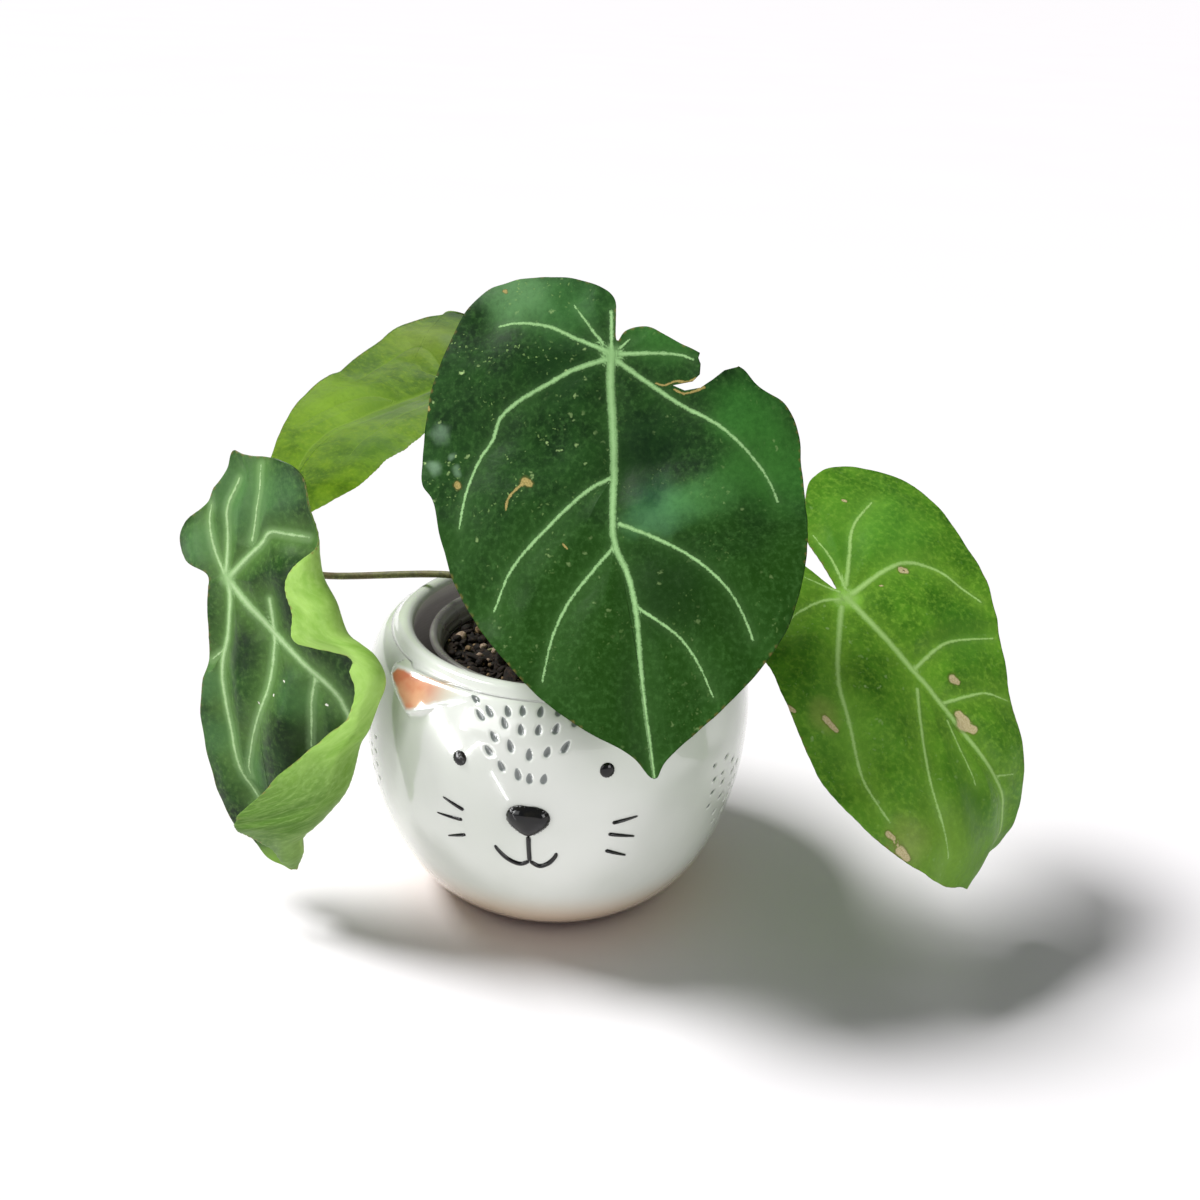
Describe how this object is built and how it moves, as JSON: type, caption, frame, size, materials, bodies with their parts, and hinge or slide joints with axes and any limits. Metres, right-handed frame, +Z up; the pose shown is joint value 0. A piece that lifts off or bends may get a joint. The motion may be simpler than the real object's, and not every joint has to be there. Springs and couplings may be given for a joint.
{
  "type": "potted anthurium hybrid",
  "caption": "Aroid house plant with heart-shaped, pale-veined leaves on long petioles, in a clear nursery pot inside a round glazed cachepot with an animal face.",
  "frame": {"origin": "centre of the cachepot's flat base, on the surface it stands on", "axes": "+Z up out of the pot's mouth, -Y the way the pot's face looks, +X to the right as one looks at the face"},
  "size_m": [0.2596, 0.1723, 0.1916],
  "materials": {
    "glaze": "gloss",
    "clear_plastic": "gloss",
    "medium": "matte",
    "stem": "matte",
    "petiole": "satin",
    "dark_leaf": "satin",
    "light_leaf": "satin"
  },
  "bodies": {
    "root": {"cachepot": "glaze", "nursery_pot": "clear_plastic", "growing_medium": "medium", "stem": "stem", "petiole_front": "petiole", "petiole_right": "petiole", "petiole_left": "petiole", "petiole_back": "petiole", "leaf_front": "dark_leaf", "leaf_left": "dark_leaf", "leaf_right": "light_leaf", "leaf_back": "light_leaf"}
  },
  "joints": []
}
